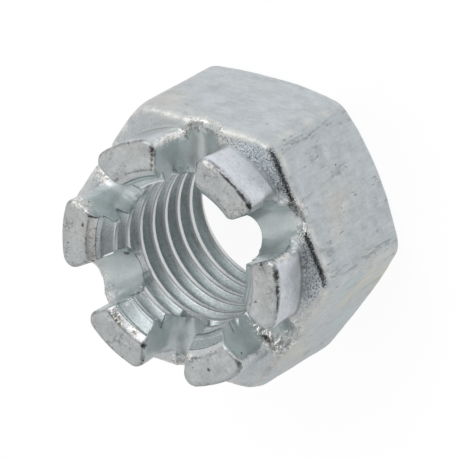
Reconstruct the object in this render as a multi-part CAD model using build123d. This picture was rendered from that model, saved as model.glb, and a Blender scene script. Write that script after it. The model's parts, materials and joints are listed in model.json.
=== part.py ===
from build123d import *
from math import cos, radians, tan
import os

# Hexagon castle nut with a 24 mm coarse thread, hot forged in one piece.
# Lengths are in millimetres and angles in degrees.  The origin is the middle of
# the bearing face, +Z runs along the thread towards the crown, and two opposite
# corners of the hexagon lie on the X axis.

# Thread, whose bore is modelled plain at the minor diameter
thread_diameter = 24.0
thread_pitch = 3.0
thread_depth_share = 1.0825         # nominal less minor diameter, in pitches

# Hexagon
flat_count = 6
across_flats = 36.0
shoulder_height = 20.2
corner_radius = 1.0                 # rounding of the upright corners
bearing_inset = 0.9                 # edge of the bearing face to the flats
bearing_chamfer_angle = 33.0        # from the bearing face up to the corners
shoulder_corner_inset = 1.0         # steep chamfer on the shoulder's corners, inwards
shoulder_corner_drop = 1.7          # and downwards
shoulder_edge_radius = 0.8          # rounding between the shoulder and the flats

# Crown
crown_height = 6.6
crown_inset = 0.9                   # wall of the crown to the flats
crown_root_leg = 0.4                # slope where the crown meets the shoulder, each way
prong_corner_radius = 1.5           # rounding of each prong's two outer upright corners
prong_edge_radius = 0.8             # rounding all round each prong's end face

# Slots for the split pin, one over the middle of each flat
slot_width = 6.1
slot_sink = 1.0                     # lowest line of the round floor below the shoulder

# Mouths of the bore
mouth_overhang = 1.0                # rim of the mouth beyond the thread, each side
mouth_angle = 45.0

# Worked out from the sizes above
overall_height = shoulder_height + crown_height
flat_distance = across_flats / 2
corner_distance = flat_distance / cos(radians(180 / flat_count))
crown_radius = flat_distance - crown_inset
minor_radius = (thread_diameter - thread_depth_share * thread_pitch) / 2
mouth_radius = thread_diameter / 2 + mouth_overhang
mouth_depth = (mouth_radius - minor_radius) * tan(radians(mouth_angle))
slot_angles = [180 / flat_count * (2 * index + 1) for index in range(flat_count // 2)]


def turned(outline):
    """Solid turned about the thread's axis from an outline of (radius, height) points."""
    return revolve(make_face(Plane.XZ * Polyline(*outline, close=True)), Axis.Z)


def hexagon():
    """Six-sided body, chamfered at the bearing face and rounded into the shoulder."""
    prism = extrude(RegularPolygon(flat_distance, flat_count, major_radius=False), shoulder_height)
    prism = fillet(prism.edges().filter_by(Axis.Z), corner_radius)
    bearing_radius = flat_distance - bearing_inset
    bearing_rise = (corner_distance - bearing_radius) * tan(radians(bearing_chamfer_angle))
    envelope = turned([
        (0, 0),
        (bearing_radius, 0),
        (corner_distance, bearing_rise),
        (corner_distance, shoulder_height - shoulder_corner_drop),
        (corner_distance - shoulder_corner_inset, shoulder_height),
        (0, shoulder_height),
    ])
    body = prism & envelope
    shoulder = body.faces().sort_by(Axis.Z)[-1]
    return fillet(shoulder.edges(), shoulder_edge_radius)


def prongs():
    """The crown's prongs on the shoulder, still running in to a point near the axis."""
    plan = Circle(crown_radius)
    for angle in slot_angles:
        plan -= Rot(0, 0, angle) * Rectangle(2 * crown_radius, slot_width)
    rim = plan.vertices().filter_by(lambda corner: corner.X**2 + corner.Y**2 > minor_radius**2)
    plan = fillet(rim, prong_corner_radius)
    crown = Pos(0, 0, shoulder_height) * extrude(plan, crown_height)
    end_faces = crown.faces().filter_by(Axis.Z).group_by(Axis.Z)[-1]
    return fillet(end_faces.edges(), prong_edge_radius)


def blank():
    """Hexagon and prongs in one, with a small slope round the foot of each prong."""
    joined = hexagon() + prongs()
    shoulder = joined.faces().filter_by(Axis.Z).group_by(Axis.Z)[1][0]
    feet = ShapeList(edge for wire in shoulder.inner_wires() for edge in wire.edges())
    return chamfer(feet, crown_root_leg)


def slot_bar():
    """Bar along X with a round underside, long enough for two opposite slots."""
    floor_radius = slot_width / 2
    middle = Pos(0, shoulder_height - slot_sink + floor_radius)
    upper = Rectangle(slot_width, crown_height + slot_sink, align=(Align.CENTER, Align.MIN))
    section = middle * Circle(floor_radius) + middle * upper
    return extrude(Plane.YZ * section, corner_distance, both=True)


def bore():
    """Plug that fills the bore, widened to a mouth at either end."""
    return turned([
        (0, 0),
        (mouth_radius, 0),
        (minor_radius, mouth_depth),
        (minor_radius, overall_height - mouth_depth),
        (mouth_radius, overall_height),
        (0, overall_height),
    ])


def castle_nut():
    """The whole nut as one solid."""
    nut = blank()
    for angle in slot_angles:
        nut -= Rot(0, 0, angle) * slot_bar()
    return nut - bore()


os.makedirs("parts", exist_ok=True)
export_step(castle_nut(), "parts/castle_nut.step")
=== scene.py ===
import json
from math import cos, pi, radians, sin, sqrt, tan

import bpy
from mathutils import Matrix, Vector


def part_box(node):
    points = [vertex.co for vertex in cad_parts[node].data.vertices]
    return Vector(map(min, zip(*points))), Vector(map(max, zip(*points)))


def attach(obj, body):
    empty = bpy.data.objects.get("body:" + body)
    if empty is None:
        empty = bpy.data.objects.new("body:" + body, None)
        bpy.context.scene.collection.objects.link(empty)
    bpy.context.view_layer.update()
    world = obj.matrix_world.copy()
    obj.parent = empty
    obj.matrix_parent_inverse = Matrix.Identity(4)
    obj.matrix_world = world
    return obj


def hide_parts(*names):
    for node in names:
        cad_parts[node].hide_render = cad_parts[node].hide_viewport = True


# Castle nut, hot forged and zinc plated.  The plain solid of the frame is dressed
# with one closed skin: the forged shape with its soft edges and rough rims, the
# tapped thread, and the plating.  Lengths are in metres and angles in radians,
# unless a comment says otherwise.

MM = 0.001

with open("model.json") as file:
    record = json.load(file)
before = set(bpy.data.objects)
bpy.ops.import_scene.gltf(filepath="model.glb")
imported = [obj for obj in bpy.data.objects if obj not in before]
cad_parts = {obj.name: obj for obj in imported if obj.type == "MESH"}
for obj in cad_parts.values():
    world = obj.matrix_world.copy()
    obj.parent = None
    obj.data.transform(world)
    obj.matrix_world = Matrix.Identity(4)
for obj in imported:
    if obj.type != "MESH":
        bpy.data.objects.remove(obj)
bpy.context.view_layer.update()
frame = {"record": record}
low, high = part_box("castle_nut")
mounts = {mount["name"]: mount for mount in frame["record"]["mounts"]}

# Sizes taken from the frame
across_flats = high.y - low.y
flat_distance = across_flats / 2
corner_distance = flat_distance / cos(radians(30))
overall_height = high.z - low.z
minor_radius = mounts["thread"]["dims"]["r_mm"] * MM
slot_middle_height = mounts["pin_slots"]["pos_m"][2]
mouth_depth = (overall_height - mounts["thread"]["dims"]["length_mm"] * MM) / 2

# Thread: 24 mm coarse, right hand
pitch = 3.0 * MM
thread_depth = 0.54125 * pitch          # of the 60 degree metric form
major_radius = minor_radius + thread_depth
thread_phase = 23.55 * MM               # height of a groove's middle over the X axis
flank_angle = radians(30)
tap_overrun = 1.5 * pitch               # how far the tap goes past both ends
tap_core_inset = 0.2 * MM               # how far its core lies inside the bore's wall

# Sizes of the forging that the mounts don't give
slot_width = 6.1 * MM
slot_directions = (radians(30), radians(90), radians(150))     # across the nut, as the flats face
shoulder_height = 20.2 * MM
crown_inset = 0.9 * MM                  # wall of the crown to the flats
crown_radius = flat_distance - crown_inset
crown_draft = 0.05                      # widening of the crown over its height
crown_foot_inset = 0.3 * MM             # how far the crown's foot lies inside its top
mouth_radius = minor_radius + mouth_depth
bearing_inset = 0.9 * MM                # edge of the bearing face to the flats
bearing_radius = flat_distance - bearing_inset
bearing_slope = radians(33)
corner_bevel = 1.0 * MM                 # run of the steep bevel on the shoulder's corners
corner_bevel_fall = 1.7                 # its fall over its run

# How far its edges are rounded
hexagon_corner_round = 1.8 * MM
bearing_edge_round = 0.9 * MM
bearing_face_round = 0.4 * MM
shoulder_edge_round = 1.0 * MM
corner_bevel_round = 0.6 * MM
prong_corner_round = 2.3 * MM
prong_end_round = 0.7 * MM
crown_foot_round = 0.15 * MM
slot_edge_round = 0.4 * MM
bore_edge_round = 0.3 * MM
mouth_edge_round = 0.5 * MM

# The skin lies a little inside the sizes above, and its unevenness stays within them
skin_depth = 0.06 * MM                  # mean depth of the skin
slot_allowance = 0.1 * MM               # the slots start narrower, because the skin widens them
shoulder_allowance = 0.1 * MM           # the shoulder starts lower, under its rounded edge

# How finely the skin is made
margin = 1.0 * MM
voxel = 0.20 * MM
most_triangles = 150000
steps_a_turn = 90
sharp_edge = radians(35)


# --- Writing node trees as sums ---------------------------------------------------

def maths(operation, reflected=False):
    """A method that adds a Math node, with the term first in it, or last if reflected."""
    def method(term, *others):
        inputs = (*others, term) if reflected else (term, *others)
        return term.graph.node("ShaderNodeMath", {"operation": operation}, *inputs).out(0)
    return method


class Term:
    """A socket in a sum: every operation on it adds a node to its tree."""

    def __init__(self, graph, socket):
        self.graph = graph
        self.socket = socket

    __add__ = maths("ADD")
    __radd__ = maths("ADD", reflected=True)
    __sub__ = maths("SUBTRACT")
    __rsub__ = maths("SUBTRACT", reflected=True)
    __mul__ = maths("MULTIPLY")
    __rmul__ = maths("MULTIPLY", reflected=True)
    __truediv__ = maths("DIVIDE")
    __rtruediv__ = maths("DIVIDE", reflected=True)
    __pow__ = maths("POWER")
    __rpow__ = maths("POWER", reflected=True)
    __abs__ = maths("ABSOLUTE")

    root = maths("SQRT")
    sine = maths("SINE")
    cosine = maths("COSINE")
    angle_with = maths("ARCTAN2")
    exponential = maths("EXPONENT")
    fraction = maths("FRACT")
    lowest = maths("MINIMUM")
    highest = maths("MAXIMUM")
    softly_lowest = maths("SMOOTH_MIN")
    softly_highest = maths("SMOOTH_MAX")

    def __neg__(self):
        return self * -1.0

    def within(self, low_end, high_end):
        return self.highest(low_end).lowest(high_end)

    def bell(self, width):
        """1 where the term is 0, falling to nothing a few widths away."""
        share = self / width
        return (-(share * share)).exponential()

    def ramp(self, start, end, low_end=0.0, high_end=1.0):
        """Runs smoothly from low_end to high_end as the term goes from start to end."""
        settings = {"interpolation_type": "SMOOTHSTEP", "clamp": True}
        return self.graph.node("ShaderNodeMapRange", settings, self, From_Min=start, From_Max=end,
                               To_Min=low_end, To_Max=high_end).out(0)

    def near(self, place, width):
        """1 where the term is at that place, fading over that width, in millimetres."""
        return (self - place * MM).bell(width * MM)

    def rises(self, start, end):
        """0 up to start and 1 past end, in millimetres."""
        return self.ramp(start * MM, end * MM)

    def falls(self, start, end):
        """1 up to start and 0 past end, in millimetres."""
        return self.ramp(start * MM, end * MM, 1.0, 0.0)

    def rounded_with(self, other, radius):
        """Both distances met in an edge of that radius."""
        first = self + radius
        second = other + radius
        inner = first.highest(second).lowest(0.0)
        outer = self.graph.length(first.highest(0.0), second.highest(0.0))
        return inner + outer - radius


class Made:
    """A node that has just been added, with its sockets at hand."""

    def __init__(self, graph, node):
        self.graph = graph
        self.node = node

    def out(self, name):
        return Term(self.graph, self.node.outputs[name])

    def socket(self, name):
        return self.node.inputs[name]


class Graph:
    """A node tree with short ways to add a node and to feed its sockets."""

    def __init__(self, tree):
        self.tree = tree

    def feed(self, socket, value):
        if isinstance(value, Term):
            self.tree.links.new(value.socket, socket)
        else:
            socket.default_value = value

    def node(self, kind, settings=None, *values, **named):
        """Adds a node: its settings first, then its sockets in order or by name."""
        node = self.tree.nodes.new(kind)
        for name, value in (settings or {}).items():
            setattr(node, name, value)
        for socket, value in zip([s for s in node.inputs if s.enabled], values):
            self.feed(socket, value)
        for name, value in named.items():
            self.feed(node.inputs[name.replace("_", " ")], value)
        return Made(self, node)

    def vector(self, x, y, z):
        return self.node("ShaderNodeCombineXYZ", None, x, y, z).out(0)

    def parts(self, vector):
        split = self.node("ShaderNodeSeparateXYZ", None, vector)
        return split.out(0), split.out(1), split.out(2)

    def length(self, *values):
        total = values[0] * values[0]
        for value in values[1:]:
            total = total + value * value
        return total.root()

    def mix(self, share, first, second):
        """Colour between two colours."""
        made = self.node("ShaderNodeMix", {"data_type": "RGBA", "clamp_factor": True})
        for socket, value in ((0, share), (6, first), (7, second)):
            self.feed(made.socket(socket), value)
        return made.out(2)

    def scale_colour(self, colour, factor):
        return self.node("ShaderNodeVectorMath", {"operation": "SCALE"}, colour, Scale=factor).out(0)

    def noise(self, place, scale, detail, roughness, seed=0.0):
        """Uneven value round 0, from about -1 to 1, with that many features a metre."""
        made = self.node("ShaderNodeTexNoise", {"noise_dimensions": "4D"}, place,
                         W=seed, Scale=scale, Detail=detail, Roughness=roughness, Distortion=0.0)
        return made.out(0) * 4.0 - 2.0


# --- Trees that shape a piece -----------------------------------------------------

def interface(tree, name, kind, value=None, outward=False):
    """Adds a socket to the tree's own inputs or outputs and gives its identifier."""
    socket = tree.interface.new_socket(
        name=name, in_out="OUTPUT" if outward else "INPUT", socket_type=kind)
    if value is not None:
        socket.default_value = value
    return socket.identifier


def tree_of(name, inputs):
    """A tree with one geometry in and out and the named sizes."""
    tree = bpy.data.node_groups.new(name, "GeometryNodeTree")
    interface(tree, "Geometry", "NodeSocketGeometry")
    interface(tree, "Geometry", "NodeSocketGeometry", outward=True)
    settings = {}
    for label, value in inputs.items():
        settings[interface(tree, label, "NodeSocketFloat", value)] = value
    graph = Graph(tree)
    group_in = graph.node("NodeGroupInput")
    sizes = {label: group_in.out(label) for label in ["Geometry", *inputs]}
    return tree, graph, sizes, settings


def close_tree(graph, geometry, material):
    """Ends a tree in plain geometry that carries the material."""
    real = graph.node("GeometryNodeRealizeInstances", None, geometry).out(0)
    coated = graph.node("GeometryNodeSetMaterial", None, real, Material=material)
    graph.node("NodeGroupOutput", None, coated.out(0))


def apply_modifiers(piece):
    depsgraph = bpy.context.evaluated_depsgraph_get()
    mesh = bpy.data.meshes.new_from_object(piece.evaluated_get(depsgraph))
    piece.modifiers.clear()
    piece.data = mesh


def shape_with(piece, tree, settings):
    """Runs a tree on the piece and keeps its result as a plain mesh."""
    modifier = piece.modifiers.new("Shaped", "NODES")
    modifier.node_group = tree
    for identifier, value in settings.items():
        modifier[identifier] = value
    apply_modifiers(piece)


def made_by(name, tree, settings):
    """A new piece that is all the tree's own work."""
    piece = bpy.data.objects.new(name, bpy.data.meshes.new(name))
    bpy.context.scene.collection.objects.link(piece)
    shape_with(piece, tree, settings)
    return piece


# --- The forged body as a field of distances --------------------------------------

def slot_distance(graph, x, y, z, width, middle):
    """Distance from the nearest slot's wall or round floor, negative in the slot."""
    nearest = None
    below = (z - middle).lowest(0.0)
    for angle in slot_directions:
        side = x * sin(angle) - y * cos(angle)
        one = graph.length(side, below)
        nearest = one if nearest is None else nearest.lowest(one)
    return nearest - width * 0.5


def unevenness(graph, place, slot, above, radius):
    """How far the forging's skin wanders inwards, more at the slots' rims and the shoulder."""
    broad = graph.noise(place, 230, 2, 0.5, seed=21) * (0.045 * MM)
    fine = graph.noise(place, 800, 2, 0.6, seed=22) * (0.018 * MM)
    slot_rim = slot.bell(0.8 * MM) * (radius - crown_radius).rises(-2.2, -0.6)
    shoulder_rim = above.bell(0.9 * MM) * 0.6 * (radius - crown_radius).rises(0.0, 0.4)
    torn = graph.noise(place, 1400, 3, 0.7, seed=23) * (0.11 * MM) * slot_rim.highest(shoulder_rim)
    return broad + fine + torn + skin_depth


def hexagon_distance(size, x, y, z, radius, above, slot):
    """The hexagon up to its shoulder, with the bearing chamfer and the slots' outer ends."""
    flat = size["Across Flats"] * 0.5
    sides = [abs(x * cos(a) + y * sin(a)) - flat for a in slot_directions]
    hexagon = sides[0].softly_highest(sides[1], hexagon_corner_round)
    hexagon = hexagon.softly_highest(sides[2], hexagon_corner_round)
    bearing = (radius - bearing_radius) * sin(bearing_slope) - z * cos(bearing_slope)
    hexagon = hexagon.softly_highest(bearing, bearing_edge_round)
    bevel = (radius - (corner_distance - corner_bevel)) * corner_bevel_fall + above
    bevel = bevel / sqrt(1 + corner_bevel_fall ** 2)
    top = (above + shoulder_allowance).softly_highest(bevel, corner_bevel_round).highest(-slot)
    return hexagon.rounded_with(top, shoulder_edge_round)


def crown_distance(size, z, radius, above, slot):
    """The crown of prongs, a little wider at its top than at its foot."""
    wall = radius - size["Crown Radius"] + crown_foot_inset - above * crown_draft
    prongs = wall.rounded_with(-slot, prong_corner_round)
    return prongs.rounded_with(z - size["Overall Height"], prong_end_round)


def body_distance(graph, size, place):
    """Distance from the nut's surface, negative inside, with every edge rounded."""
    x, y, z = graph.parts(place)
    radius = graph.length(x, y)
    slot = slot_distance(graph, x, y, z, size["Slot Width"] - slot_allowance, size["Slot Middle"])
    above = z - size["Shoulder Height"]

    hexagon = hexagon_distance(size, x, y, z, radius, above, slot)
    crown = crown_distance(size, z, radius, above, slot)
    solid = hexagon.softly_lowest(crown, crown_foot_round).softly_highest(-slot, slot_edge_round)
    solid = solid + size["Unevenness"] * unevenness(graph, place, slot, above, radius)
    solid = solid.softly_highest(-z, bearing_face_round)

    bore = size["Minor Radius"] - radius
    upper_mouth = (size["Mouth Radius"] - size["Overall Height"] + z - radius) / sqrt(2)
    lower_mouth = (size["Mouth Radius"] - z - radius) / sqrt(2)
    solid = solid.softly_highest(bore, bore_edge_round)
    solid = solid.softly_highest(upper_mouth, mouth_edge_round)
    return solid.softly_highest(lower_mouth, mouth_edge_round)


def forged_body(material):
    """The forging: a skin laid over the field of distances."""
    tree, graph, size, settings = tree_of("forged_body", {
        "Across Flats": across_flats,
        "Shoulder Height": shoulder_height,
        "Overall Height": overall_height,
        "Crown Radius": crown_radius,
        "Slot Width": slot_width,
        "Slot Middle": slot_middle_height,
        "Minor Radius": minor_radius,
        "Mouth Radius": mouth_radius,
        "Unevenness": 1.0})
    place = graph.node("GeometryNodeInputPosition").out(0)
    distance = body_distance(graph, size, place)
    least = (-high.x - margin, -high.y - margin, -margin)
    most = (high.x + margin, high.y + margin, overall_height + margin)
    counts = [int(round((end - start) / voxel)) for start, end in zip(least, most)]
    cube = graph.node(
        "GeometryNodeVolumeCube", None, Density=-distance * (1 / voxel), Background=-10.0,
        Min=least, Max=most, Resolution_X=counts[0], Resolution_Y=counts[1], Resolution_Z=counts[2])
    skin = graph.node("GeometryNodeVolumeToMesh", {"resolution_mode": "GRID"}, cube.out(0),
                      Threshold=0.0, Adaptivity=0.0)
    close_tree(graph, skin.out(0), material)
    return made_by("forged_body", tree, settings)


def thin_out(piece, most):
    """Leaves no more than that many triangles on the piece."""
    triangles = sum(len(face.vertices) - 2 for face in piece.data.polygons)
    if triangles > most:
        modifier = piece.modifiers.new("Thinned", "DECIMATE")
        modifier.ratio = most / triangles
        modifier.use_collapse_triangulate = True
        apply_modifiers(piece)


# --- The thread -------------------------------------------------------------------

def tap(material):
    """Right-hand tap: a cutter's outline carried along a helix past both ends."""
    tree, graph, size, settings = tree_of("tap", {
        "Minor Radius": minor_radius,
        "Major Radius": major_radius,
        "Pitch": pitch,
        "Phase": thread_phase})
    turns = int((overall_height + 2 * tap_overrun) / pitch) + 1
    turns_below = round((thread_phase + tap_overrun) / pitch)
    angle = graph.node("GeometryNodeInputIndex").out(0) * (2 * pi / steps_a_turn)
    height = size["Phase"] + size["Pitch"] * (angle / (2 * pi)) - pitch * turns_below
    core = size["Minor Radius"] - tap_core_inset
    line = graph.node("GeometryNodeCurvePrimitiveLine").out(0)
    points = graph.node("GeometryNodeResampleCurve", {"mode": "COUNT"}, line,
                        Count=turns * steps_a_turn + 1).out(0)
    helix = graph.node("GeometryNodeSetPosition", None, points, Position=graph.vector(
        core * angle.cosine(), core * angle.sine(), height)).out(0)
    helix = graph.node("GeometryNodeSetCurveNormal", {"mode": "Z_UP"}, helix).out(0)

    # the cutter's outline, with its half widths at the tip and at the core
    depth = size["Major Radius"] - core
    narrow = size["Pitch"] / 16
    wide = narrow + depth * tan(flank_angle)
    corners = ((0.0, -wide), (depth, -narrow), (depth, narrow), (0.0, wide))
    outline = graph.node("GeometryNodeCurvePrimitiveQuadrilateral", {"mode": "POINTS"})
    for number, (reach, half) in enumerate(corners, 1):
        graph.feed(outline.socket("Point %d" % number), graph.vector(reach, half, 0.0))
    cutter = graph.node("GeometryNodeCurveToMesh", None, helix, outline.out(0), Fill_Caps=True)
    close_tree(graph, cutter.out(0), material)
    return made_by("tap", tree, settings)


def cut_with(piece, cutter):
    """Takes the cutter out of the piece and deletes it."""
    modifier = piece.modifiers.new("Cut", "BOOLEAN")
    modifier.operation = "DIFFERENCE"
    modifier.solver = "MANIFOLD"
    modifier.object = cutter
    apply_modifiers(piece)
    bpy.data.objects.remove(cutter)


def run_out(piece, material):
    """Fades the thread where it meets the round floors of the slots."""
    tree, graph, size, settings = tree_of("run_out", {
        "Slot Width": slot_width,
        "Slot Middle": slot_middle_height,
        "Minor Radius": minor_radius,
        "Major Radius": major_radius,
        "Fading": 0.85})
    x, y, z = graph.parts(graph.node("GeometryNodeInputPosition").out(0))
    radius = graph.length(x, y)
    slot = slot_distance(graph, x, y, z, size["Slot Width"], size["Slot Middle"])
    by_slot = slot.falls(0.2, 1.2)
    in_thread = (radius - size["Major Radius"]).falls(0.05, 0.6)
    by_floor = (z - size["Slot Middle"]).falls(-1.4, -0.2)
    share = by_slot * in_thread * by_floor
    depth = (radius - size["Minor Radius"]).highest(0.0)
    shrink = 1.0 - size["Fading"] * share * depth / radius
    moved = graph.node("GeometryNodeSetPosition", None, size["Geometry"],
                       Position=graph.vector(x * shrink, y * shrink, z))
    close_tree(graph, moved.out(0), material)
    shape_with(piece, tree, settings)


# --- Where the finish changes -----------------------------------------------------

class Spot:
    """A point on the nut, measured from the forms that its finish follows."""

    def __init__(self, graph, place):
        x, y, z = graph.parts(place)
        self.x, self.y, self.z = x, y, z
        self.radius = graph.length(x, y)
        self.sides = [abs(self.along(azimuth)) for azimuth in (30, 90, 150)]
        first, second, third = self.sides
        furthest = first.highest(second).highest(third)
        nearest = first.lowest(second).lowest(third)
        between = first + second + third - furthest - nearest
        self.past_flat = furthest - flat_distance
        off_corner = self.past_flat.ramp(-2.5 * MM, -1.5 * MM, 9.0 * MM, 0.0)
        self.past_corner = furthest - between + off_corner
        self.above = z - shoulder_height
        self.past_end = z - overall_height
        self.past_crown = self.radius - crown_radius
        self.past_mouth = self.radius - mouth_radius
        self.past_crest = self.radius - minor_radius
        self.from_slot = slot_distance(graph, x, y, z, slot_width, slot_middle_height)
        self.in_slot = self.from_slot.falls(0.1, 0.35)
        self.off_slot = 1.0 - self.in_slot
        self.outside = (self.radius - major_radius).rises(0.02, 0.1)
        self.on_side_30 = (first - second.highest(third)).rises(-0.3, 0.3) * self.facing(28).ramp(0.0, 0.1)

    def along(self, azimuth):
        """Distance from the axis along that azimuth, in degrees."""
        return self.x * cos(radians(azimuth)) + self.y * sin(radians(azimuth))

    def facing(self, azimuth):
        """1 at that azimuth, in degrees, 0 at right angles to it and -1 opposite."""
        return self.along(azimuth) / self.radius


def hexagon_zones(at):
    """The flats, their corners, and the rims where they meet the shoulder."""
    under_rim = at.above.falls(-1.6, -1.0)
    sharp_rim = at.past_flat.near(0.0, 0.35) * at.above.near(-1.4, 0.45)
    soft_rim = at.past_flat.near(-0.5, 0.6) * at.above.near(-0.35, 0.7)
    return {
        "flat": at.past_flat.rises(-0.35, -0.12) * at.above.falls(-1.4, -0.8),
        "flat -30": (at.along(-30) - flat_distance).rises(-0.35, -0.12),
        "flat 90": (at.sides[1] - flat_distance).rises(-0.5, -0.3),
        "corner": at.past_corner.near(0.0, 0.7) * under_rim,
        "beside corner": at.on_side_30 * at.past_corner.near(1.3, 0.7) * under_rim,
        "rim": soft_rim + at.on_side_30 * (sharp_rim - soft_rim),
        # Painted reflection: a dark band along the rounded edge between the flat at 30 and the shoulder.
        "dark rim reflection": at.on_side_30 * at.past_flat.near(-0.4, 0.45) * at.above.near(-0.35, 0.5),
    }


def shoulder_zones(at):
    """The shoulder round the crown, grained where it was forged roughest, and the line at the crown's foot
    that gets a painted highlight.
    """
    roughest = at.facing(28).ramp(0.42, 0.66) * at.facing(75).ramp(-0.1, 0.45, 0.25, 1.0)
    up_to_rim = (at.past_flat + (1.0 - at.on_side_30) * (1.0 * MM)).falls(-0.2, 0.1)
    level = at.above.rises(-0.9, -0.4) * at.above.falls(0.15, 0.3)
    return {
        "shoulder": at.above.rises(-1.3, -0.7) * at.above.falls(0.2, 0.5) * at.past_crown.rises(-0.2, 0.0),
        "grained": roughest * level * up_to_rim * at.past_crown.rises(-0.45, -0.3),
        # A thin line at the crown's foot, for a painted highlight.
        "crown foot highlight": at.above.near(0.35, 0.16) * at.past_crown.near(-0.25, 0.3),
    }


def prong_zones(at):
    """The prongs' ends and outer walls, with the slots between them."""
    # The walls' zone is weighted to the side towards azimuth 28, where their painted reflection is
    # strongest.
    to_the_light = at.facing(28).ramp(0.0, 0.8, 0.3, 1.0)
    return {
        "wall": at.past_crown.rises(-0.6, -0.3) * at.above.rises(0.5, 0.9) * to_the_light,
        "end": at.past_end.rises(-0.4, -0.25),
        # Painted shade along the prongs' outer top edges.
        "end edge": at.past_end.near(-0.4, 0.22) * at.past_mouth.rises(1.2, 2.0),
        "slot": at.in_slot,
        "slot rim": at.from_slot.near(0.45, 0.45) * at.past_crown.rises(-1.6, -0.4),
        "slot edge": at.from_slot.near(0.42, 0.14) * at.past_end.rises(-0.6, -0.3),
    }


def bore_zones(at):
    """The mouth, the thread and its crests with their painted highlight, and the side of the bore towards
    azimuth 290, which gets painted shade.
    """
    inside = (1.0 - at.outside) * at.off_slot
    # Painted shade: the side of the bore towards azimuth 290, where the light falls, is made darker.
    painted_shade_side = inside * at.facing(290).ramp(0.5, 0.9)
    crest = at.past_crest.falls(0.1, 0.28) * at.above.falls(3.5, 4.0) * at.off_slot
    return {
        "bore": inside,
        "mouth": at.past_mouth.falls(-0.05, 0.1) * at.outside * at.off_slot,
        "mouth line": at.past_mouth.near(0.0, 0.13) * at.above.rises(4.5, 5.5) * at.off_slot,
        "painted_shade_side": painted_shade_side,
        "crest": crest,
        # Painted highlight on the crests, except on the painted shade side.
        "crest highlight": crest * (1.0 - painted_shade_side),
    }


# Marks left by forging, punching and handling, with painted shade in the dark marks along the
# outer top edges of prongs 2 and 3 and a painted reflection in the mark on the outer lip of the
# slot at 30: azimuth in degrees, then radius, height and the mark's half sizes outwards, sideways
# and upwards in millimetres.  Prong 1 is at 120 degrees, and the others follow clockwise, 60 degrees apart.
mark_places = {
    "pitted": (
        (103, 15.3, 26.6, 0.8, 0.5, 0.6),           # end of prong 1, by its slot
        (104, 13.6, 26.6, 1.6, 0.3, 0.4),
        (-127, 12.7, 26.4, 0.6, 1.5, 0.6),          # mouth, prong 5
        (-114, 12.4, 26.2, 0.5, 1.3, 0.5),
        (-134, 10.8, 22.6, 0.6, 0.8, 1.6),          # bore, prong 5
        (-38.5, 14.8, 20.1, 3.3, 1.0, 0.8),         # floor of the slot at -30
        (97, 16.9, 20.0, 0.5, 0.6, 0.5),            # outer end of the slot at 90
        (100, 16.2, 20.4, 0.5, 0.5, 0.6),
    ),
    "dark": (
        # Painted shade: the dark marks along the outer top edges of prongs 2 and 3 stand for the shadow in a
        # fine groove there.
        (44, 16.6, 26.7, 0.5, 1.0, 0.5),            # outer edge, end of prong 2
        (51, 16.6, 26.7, 0.3, 1.5, 0.3),
        (60, 16.6, 26.7, 0.2, 1.8, 0.3),
        (11, 16.7, 26.6, 0.4, 0.9, 0.4),            # outer edge, end of prong 3
        (4, 16.8, 26.6, 0.22, 0.8, 0.3),
        (-2, 16.9, 26.6, 0.12, 1.2, 0.2),
        (-61, 14.8, 26.8, 0.35, 0.25, 0.3),         # end of prong 4
        (-104, 13.2, 26.5, 0.4, 0.5, 0.5),          # mouth, prong 5
        (172, 13.7, 26.8, 0.2, 0.4, 0.3),           # end of prong 6
        (165.6, 12.5, 26.2, 0.8, 0.16, 0.8),        # mouth, side of prong 6
        (-161, 11.4, 20.1, 0.6, 0.6, 0.5),          # floor of the slot at -150
    ),
    "speckled": (
        (178, 12.5, 26.3, 1.1, 2.3, 0.9),           # mouth, prong 6
        (-170, 12.4, 26.2, 1.0, 1.3, 0.8),
    ),
    "mottled_reflection": (
        # Painted dark reflection, blotchy, widening the rim's dark band at the slot's outer lip.
        (34, 17.0, 19.5, 0.6, 1.5, 0.7),            # outer lip of the slot at 30
    ),
    "torn": (
        (101.6, 16.1, 23.0, 0.8, 0.9, 3.4),         # side of prong 1, by the slot at 90
        (17.5, 16.6, 23.2, 0.8, 0.8, 3.2),          # side of prong 3, by the slot at 30
        (70, 16.5, 26.7, 0.35, 1.6, 0.3),           # outer edge, end of prong 2
        (40, 16.4, 20.5, 0.5, 0.6, 0.6),            # outer end of the slot at 30
        (158, 16.1, 20.3, 1.4, 1.0, 0.9),           # outer end of the slot at 150
        (163, 15.0, 26.0, 1.8, 0.6, 1.2),           # side of prong 6
        (-72, 12.8, 26.5, 0.5, 0.7, 0.5),           # mouth, prong 4
    ),
}


def marked(graph, place, marks, ragged):
    """1 on the marks and 0 beside them, with a ragged outline."""
    most = None
    for azimuth, radius, height, outwards, sideways, upwards in marks:
        turn = radians(azimuth)
        spot = graph.node(
            "ShaderNodeMapping", {"vector_type": "TEXTURE"}, place,
            Location=Vector((radius * cos(turn), radius * sin(turn), height)) * MM,
            Rotation=(0, 0, turn), Scale=Vector((outwards, sideways, upwards)) * MM).out(0)
        share = graph.node("ShaderNodeVectorMath", {"operation": "LENGTH"}, spot).out("Value").bell(1.0)
        most = share if most is None else most.highest(share)
    return (most + 0.4 * ragged).ramp(0.25, 0.75)


# --- Plating ----------------------------------------------------------------------

cool_zinc = (0.572, 0.615, 0.640)


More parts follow.
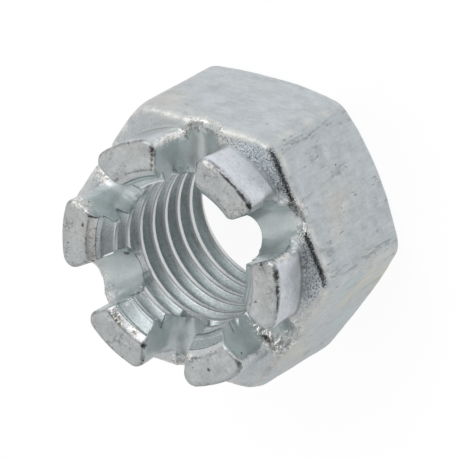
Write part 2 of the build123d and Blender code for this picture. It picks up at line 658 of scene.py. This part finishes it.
class Zinc:
    """The zinc's unevenness on each zone of the nut, at several scales."""

    def __init__(self, graph, place, at, on):
        self.graph = graph
        self.place = place
        self.at = at
        self.cloud = self.noise(120, 3, 0.6, seed=0)
        self.patch = self.noise(480, 4, 0.65, seed=2)
        self.coarse = self.noise(2300, 2, 0.55, seed=8)
        self.grain = self.noise(4800, 2, 0.6, seed=5)
        self.specks = self.noise(1300, 1, 0.5, seed=9).ramp(0.85, 1.15)
        self.stain = self.noise(700, 4, 0.75, seed=13).ramp(0.2, 0.9)
        self.drawn = self.stretched_upwards(0.16, 2100, 3, 0.6, seed=3)
        crossed = graph.noise(graph.vector(at.x * 0.45, at.y, at.z), 1000, 4, 0.65, seed=4)
        self.streak = self.drawn + (crossed - self.drawn) * on["flat 90"]
        self.cracks = self.cracks_on(on)
        self.drag = self.drag_on(on)
        self.turned = self.turned_marks()
        self.scuff = self.scuffs()
        self.rough = (on["grained"] + on["shoulder"] * 0.12 + on["mouth"] * 0.15
                      + on["slot rim"] * 0.6).lowest(1.0)
        self.mark = {name: marked(graph, place, marks, self.coarse) for name, marks in mark_places.items()}

    def noise(self, scale, detail, roughness, seed):
        return self.graph.noise(self.place, scale, detail, roughness, seed=seed)

    def stretched_upwards(self, squeeze, scale, detail, roughness, seed):
        """Unevenness drawn out along the nut's axis."""
        place = self.graph.vector(self.at.x, self.at.y, self.at.z * squeeze)
        return self.graph.noise(place, scale, detail, roughness, seed=seed)

    def cracks_on(self, on):
        """Fine upright cracks on the flats, here and there."""
        lines = abs(self.stretched_upwards(0.14, 420, 3, 0.6, seed=6)).ramp(0.0, 0.10, 1.0, 0.0)
        return lines * self.patch.ramp(0.1, 0.7) * on["flat"] * (1.0 - on["flat 90"])

    def drag_on(self, on):
        """Dull scrapes along the flats."""
        scrapes = self.stretched_upwards(0.22, 420, 5, 0.75, seed=15).ramp(0.05, 0.5)
        some = self.noise(190, 3, 0.6, seed=16).ramp(-0.15, 0.35)
        return scrapes * some * on["flat"] * (1.0 - 0.7 * on["flat 90"])

    def turned_marks(self):
        """Fine marks round the axis, left by the tap."""
        round_axis = self.at.along(310).angle_with(self.at.along(220)) * (1.2 * MM)
        place = self.graph.vector(round_axis, self.at.radius, self.at.z)
        return self.graph.noise(place, 2600, 3, 0.6, seed=17)

    def scuffs(self):
        """Thin scratches on the prongs' ends."""
        lines = abs(self.noise(520, 4, 0.7, seed=18)).ramp(0.0, 0.07, 1.0, 0.0)
        return lines * self.noise(260, 2, 0.5, seed=19).ramp(-0.2, 0.4)


def zinc_colour(on, zinc):
    """The zinc's colour by zone, painted highlights and reflections on some zones included: each layer
    covers its share of those before it.
    """
    warmth = zinc.noise(90, 2, 0.5, seed=11)
    sheen = zinc.noise(130, 2, 0.5, seed=24)
    # Lighter edges: wear on the rims and the slots' rims with painted highlight on them, and a painted
    # highlight line along the crown's foot.
    wear_and_highlight = (on["rim"] + on["crown foot highlight"] * 0.9 + on["slot rim"] * 0.8).lowest(1.0)
    wear_and_highlight = wear_and_highlight * zinc.patch.ramp(-0.9, 0.5)
    rubbed = on["corner"] * (zinc.patch + 0.4 * zinc.grain).ramp(-0.6, 0.5) * 0.8
    bare = (zinc.mark["pitted"] * 0.7).highest(zinc.mark["speckled"] * 0.6)
    layers = (
        (warmth.ramp(0.0, 1.2), (0.615, 0.617, 0.597)),
        (on["flat -30"] * sheen.ramp(0.0, 0.5), (0.630, 0.650, 0.575)),
        (on["flat -30"] * sheen.ramp(-0.1, -0.5), (0.555, 0.635, 0.650)),
        (on["slot"] * 0.8, (0.69, 0.76, 0.76)),
        (on["bore"] * 0.9, (0.72, 0.80, 0.81)),
        # Painted reflection: the crown's walls are made pale blue-white, most on the side towards azimuth
        # 28.
        (on["wall"], (0.83, 0.87, 0.93)),
        (on["mouth"] * 0.9, (0.86, 0.88, 0.89)),
        (on["shoulder"] * 0.5, (0.66, 0.69, 0.71)),
        (on["end"] * 0.6, (0.630, 0.637, 0.622)),
        # Torn skin and edge wear, with painted highlights.
        (wear_and_highlight.highest(zinc.mark["torn"]), (0.82, 0.82, 0.79)),
        (rubbed, (0.70, 0.70, 0.675)),
        (bare, (0.80, 0.78, 0.74)),
        # Painted highlight: the crests are made near white, for the light they reflect.
        (on["crest"], (0.95, 0.99, 1.0)),
    )
    colour = (*cool_zinc, 1)
    for share, tint in layers:
        colour = zinc.graph.mix(share, colour, (*tint, 1))
    return colour


def hexagon_shade(on, zinc):
    """Lighter and darker places of the flats, their rims and the shoulder, with a painted dark reflection
    along one rim.
    """
    flat = on["flat"] * (0.10 * zinc.streak + 0.08 * zinc.patch + 0.05 * zinc.coarse)
    grained = zinc.rough * (0.40 * zinc.coarse + 0.85 * zinc.grain) - 0.04 * on["grained"]
    # Painted dark reflection along that rim, blotchy.
    band = 0.68 * on["dark rim reflection"] * (1.0 + 0.7 * zinc.coarse)
    drag = 0.28 * zinc.drag * (1.0 + 0.8 * zinc.coarse)
    beside_corner = 0.45 * on["beside corner"] * (zinc.drawn + 0.7 * zinc.patch).ramp(-0.1, 0.6)
    beside_corner = beside_corner * (1.0 + 0.5 * zinc.coarse)
    return flat + grained - 0.6 * zinc.cracks - band - drag - beside_corner


def crown_shade(on, zinc):
    """Lighter and darker places of the prongs and the slots, with painted shade along their top edges."""
    deep = on["slot"] * zinc.noise(220, 2, 0.5, seed=20).ramp(-0.5, 0.6)
    slot = deep * (0.06 * zinc.streak - 0.12)
    wall = on["wall"] * (0.10 * zinc.patch + 0.07 * zinc.coarse + 0.05 * zinc.grain - 0.2 * zinc.stain)
    end = on["end"] * (0.16 * zinc.patch + 0.10 * zinc.coarse + 0.04 * zinc.grain
                       - 0.38 * zinc.stain - 0.45 * zinc.scuff)
    # Painted shade, patchy, along the prongs' outer top edges and, fainter, the slots' top edges.
    edges = 0.7 * on["end edge"] + 0.3 * on["slot edge"]
    edges = edges * (zinc.patch + 0.5 * zinc.coarse).ramp(-0.6, 0.5)
    return slot + wall + end - edges


def bore_shade(on, zinc):
    """Lighter and darker places of the mouth and the thread, with a painted highlight on the crests and
    painted shade on the bore's side towards azimuth 290.
    """
    bore = on["bore"] * (0.10 * zinc.coarse - 0.02 + 0.12 * zinc.grain + 0.16 * zinc.turned)
    # Painted shade on the bore's side towards azimuth 290, deepened along the tap's turned marks.
    painted_shade_side = 0.26 * on["painted_shade_side"] * (1.0 + 0.9 * zinc.turned)
    mouth_line = 0.5 * on["mouth line"] * zinc.patch.ramp(-0.6, 0.3)
    # The crests get a painted highlight.
    return bore + 0.18 * on["crest highlight"] - painted_shade_side - mouth_line


def mark_shade(zinc):
    """Lighter and darker places of the marks, some of them painted shade and a painted reflection."""
    pitted = zinc.mark["pitted"] * (1.15 * zinc.coarse - 0.15)
    torn = zinc.mark["torn"] * (0.3 * zinc.coarse + 0.15)
    speckled = 0.85 * zinc.mark["speckled"] * (zinc.grain + 0.7 * zinc.coarse).ramp(0.1, 0.8)
    # Painted dark reflection at the slot's outer lip, blotchy.
    mottled_reflection = 0.5 * zinc.mark["mottled_reflection"] * (1.0 + 0.9 * zinc.coarse)
    # The dark marks on the outer top edges of prongs 2 and 3 are painted shade.
    return pitted + torn - speckled - mottled_reflection - 0.7 * zinc.mark["dark"]


def zinc_shade(on, zinc):
    """How light the zinc is at a point, round 1, painted shade, highlights and reflections included."""
    shade = 1.0 + 0.07 * zinc.cloud + 0.08 * zinc.patch + 0.08 * zinc.grain
    shade = shade - 0.6 * zinc.specks * (1.0 - on["bore"])
    shade = shade + hexagon_shade(on, zinc) + crown_shade(on, zinc)
    shade = shade + bore_shade(on, zinc) + mark_shade(zinc)
    return shade.within(0.12, 1.5)


def crest_roundness(at):
    """Height in millimetres that rounds the thread's crests to both sides of each."""
    turns = (at.z - thread_phase) / pitch - at.y.angle_with(at.x) / (2 * pi)
    half_width = 0.42 * MM
    beside = abs((turns.fraction() - 0.5) * pitch).lowest(half_width) / half_width
    return beside ** 4.0 * -0.12


def zinc_height(on, zinc):
    """How far the surface stands up at a point, in millimetres."""
    height = 0.0015 * zinc.grain + 0.005 * zinc.patch - 0.03 * zinc.specks
    height = height - 0.02 * zinc.cracks - 0.012 * zinc.drag * (1.0 + zinc.coarse)
    height = height + on["flat"] * (0.006 * zinc.streak + 0.006 * zinc.patch)
    height = height + on["bore"] * (0.004 * zinc.grain + 0.006 * zinc.turned + crest_roundness(zinc.at))
    height = height + zinc.rough * (0.012 * zinc.coarse + 0.010 * zinc.grain)
    height = height + (0.035 * zinc.mark["pitted"] + 0.03 * zinc.mark["torn"]) * zinc.coarse
    return height + on["end"] * (0.008 * zinc.patch - 0.015 * zinc.stain - 0.03 * zinc.scuff)


def zinc_metallic(on, zinc):
    """Metal everywhere, with a duller skin on the slots, walls, mouths and rims."""
    sheltered = on["slot"].highest(on["wall"]).highest(on["mouth"]) * (1.0 - zinc.mark["pitted"])
    dull = (0.28 * sheltered).highest(0.55 * on["wall"]).highest(0.12 * on["bore"]).highest(0.35 * on["rim"])
    return 0.9 - dull * (1.0 - on["crest highlight"])


def zinc_roughness(on, zinc):
    """Satin all over, duller on the rims and smoother in the slots."""
    uneven = 0.30 + 0.03 * zinc.patch + 0.02 * zinc.cloud
    return uneven - 0.05 * on["slot"] + 0.16 * on["rim"] - 0.1 * on["dark rim reflection"]


def plating():
    """Bright zinc over a forged skin: satin flats, grained shoulder, smooth slots."""
    material = bpy.data.materials.new("zinc_plated_steel")
    material.use_nodes = True
    graph = Graph(material.node_tree)
    place = graph.node("ShaderNodeTexCoord").out("Object")
    at = Spot(graph, place)
    on = {**hexagon_zones(at), **shoulder_zones(at), **prong_zones(at), **bore_zones(at)}
    zinc = Zinc(graph, place, at, on)
    colour = graph.scale_colour(zinc_colour(on, zinc), zinc_shade(on, zinc))
    height = zinc_height(on, zinc) * MM
    bump = graph.node("ShaderNodeBump", None, Strength=1.0, Distance=1.0, Height=height)
    shader = material.node_tree.nodes["Principled BSDF"]
    graph.feed(shader.inputs["Base Color"], colour)
    graph.feed(shader.inputs["Metallic"], zinc_metallic(on, zinc))
    graph.feed(shader.inputs["Roughness"], zinc_roughness(on, zinc))
    graph.feed(shader.inputs["Normal"], bump.out(0))
    return material


# --- Stage ------------------------------------------------------------------------

def direction(azimuth, elevation):
    """Unit vector towards an azimuth and an elevation in degrees."""
    turn, rise = radians(azimuth), radians(elevation)
    return Vector((cos(turn) * cos(rise), sin(turn) * cos(rise), sin(rise)))


def camera():
    """A long lens over the crown, rolled so that the prongs face down to the left."""
    data = bpy.data.cameras.new("camera")
    data.sensor_width = 36.0
    data.lens = 429.4
    data.clip_start = 0.01
    data.clip_end = 10.0
    azimuth, elevation, distance = 40.3, 50.96, 0.7213
    roll = radians(-120)
    aim = Vector((0.75, 0.74, 13.4)) * MM
    back = direction(azimuth, elevation)
    right = direction(azimuth + 90, 0)
    up = back.cross(right)
    axis_x = right * cos(roll) + up * sin(roll)
    turned = Matrix((axis_x, back.cross(axis_x), back)).transposed()
    seen_from = bpy.data.objects.new("camera", data)
    seen_from.matrix_world = Matrix.Translation(aim + back * distance) @ turned.to_4x4()
    bpy.context.scene.collection.objects.link(seen_from)
    bpy.context.scene.camera = seen_from


def light_tent():
    """Pale light tent, brighter over one side, with the dark opening it is seen through."""
    world = bpy.data.worlds.new("studio")
    bpy.context.scene.world = world
    world.use_nodes = True
    graph = Graph(world.node_tree)
    towards = graph.node("ShaderNodeTexCoord").out("Generated")

    def near_to(azimuth, elevation, inner, outer):
        """1 within inner degrees of a direction, 0 beyond outer degrees."""
        along = graph.node("ShaderNodeVectorMath", {"operation": "DOT_PRODUCT"}, towards,
                           tuple(direction(azimuth, elevation))).out("Value")
        return along.ramp(cos(radians(outer)), cos(radians(inner)))

    light = 0.62 + 0.25 * near_to(108, 15, 0, 180)
    light = light + 1.0 * near_to(98, 45, 10, 38) - 0.3 * near_to(160, 5, 5, 45)
    light = light * (1.0 - 0.80 * near_to(19, 58, 28, 48))
    seen = graph.node("ShaderNodeLightPath").out("Is Camera Ray")
    light = light * (1.0 - seen) + seen
    background = world.node_tree.nodes["Background"]
    graph.feed(background.inputs["Color"], graph.scale_colour((1.0, 1.0, 1.0), light))


def paper():
    """White paper that stays white in view and in the metal, and keeps the nut's shadow."""
    material = bpy.data.materials.new("floor_paper")
    material.use_nodes = True
    graph = Graph(material.node_tree)
    sheet = material.node_tree.nodes["Principled BSDF"]
    sheet.inputs["Base Color"].default_value = (0.9, 0.9, 0.9, 1)
    sheet.inputs["Roughness"].default_value = 1.0
    sheet.inputs["Specular IOR Level"].default_value = 0.0

    path = graph.node("ShaderNodeLightPath")
    seen = path.out("Is Camera Ray").highest(path.out("Is Transmission Ray"))
    mirrored = path.out("Is Glossy Ray")
    x, y = graph.parts(graph.node("ShaderNodeTexCoord").out("Object"))[:2]
    towards_light = x * cos(radians(85)) + y * sin(radians(85))
    towards_light = towards_light / (graph.length(x, y) + 5 * MM)
    light = 1.08 * seen + mirrored * (0.83 + 0.14 * towards_light)
    glow = graph.node("ShaderNodeEmission", None, graph.scale_colour((1.0, 1.0, 1.0), light)).out(0)
    share = 0.85 * seen.highest(mirrored)
    mixed = graph.node("ShaderNodeMixShader", None, share, Term(graph, sheet.outputs[0]), glow).out(0)
    graph.feed(material.node_tree.nodes["Material Output"].inputs[0], mixed)
    return material


def paper_floor():
    side = 2.0
    corners = [(-side, -side, 0), (side, -side, 0), (side, side, 0), (-side, side, 0)]
    mesh = bpy.data.meshes.new("floor")
    mesh.from_pydata(corners, [], [(0, 1, 2, 3)])
    mesh.materials.append(paper())
    floor = bpy.data.objects.new("floor", mesh)
    bpy.context.scene.collection.objects.link(floor)


# --- The nut, made and finished ---------------------------------------------------

finish = plating()
body = forged_body(finish)
thin_out(body, most_triangles)
cut_with(body, tap(finish))
run_out(body, finish)
body.data.polygons.foreach_set("use_smooth", [True] * len(body.data.polygons))
body.data.set_sharp_from_angle(angle=sharp_edge)
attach(body, "root")
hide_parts("castle_nut")
camera()
light_tent()
paper_floor()
bpy.context.scene.view_settings.view_transform = "Standard"
